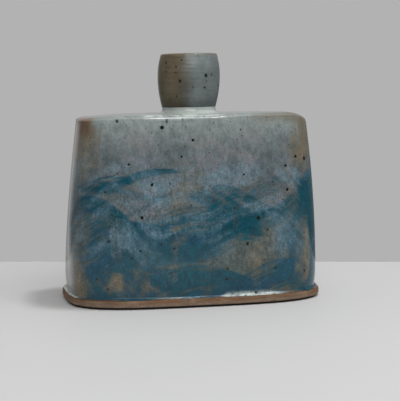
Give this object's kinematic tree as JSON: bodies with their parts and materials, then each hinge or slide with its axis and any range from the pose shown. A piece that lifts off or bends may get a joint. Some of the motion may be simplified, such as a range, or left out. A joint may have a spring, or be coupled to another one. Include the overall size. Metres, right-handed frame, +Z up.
{
  "type": "bottle vase",
  "caption": "Flat wide slab-built stoneware bottle vase with leaning glazed walls, soft top edges, a bare flanged foot slab and a short open barrel neck.",
  "frame": {"origin": "middle of the foot's underside, on the surface that the vase stands on", "axes": "+Z up, X along the vase's length with the taller right end at +X, front face towards -Y"},
  "size_m": [0.159, 0.0872, 0.1501],
  "materials": {
    "bare_stoneware": "unglazed fired clay with an orange flash along the glaze edge",
    "body_glaze": "glossy grey-green to deep blue glaze with tan breaks and iron specks",
    "shoulder_glaze": "glossy pale grey-green glaze",
    "collar_glaze": "thick glossy pale glaze pooled in the joint",
    "neck_glaze": "satin olive-brown to grey-blue glaze over throwing rings",
    "inner_stoneware": "rough fired clay"
  },
  "bodies": {
    "root": {"base_slab": "bare_stoneware", "front_wall": "body_glaze", "back_wall": "body_glaze", "left_end_wall": "body_glaze", "right_end_wall": "body_glaze", "shoulder_slab": "shoulder_glaze", "neck_collar": "collar_glaze", "neck": "neck_glaze", "foot_coil": "inner_stoneware", "shoulder_coil": "inner_stoneware", "back_right_corner_coil": "inner_stoneware", "back_left_corner_coil": "inner_stoneware", "front_left_corner_coil": "inner_stoneware", "front_right_corner_coil": "inner_stoneware"}
  },
  "joints": []
}
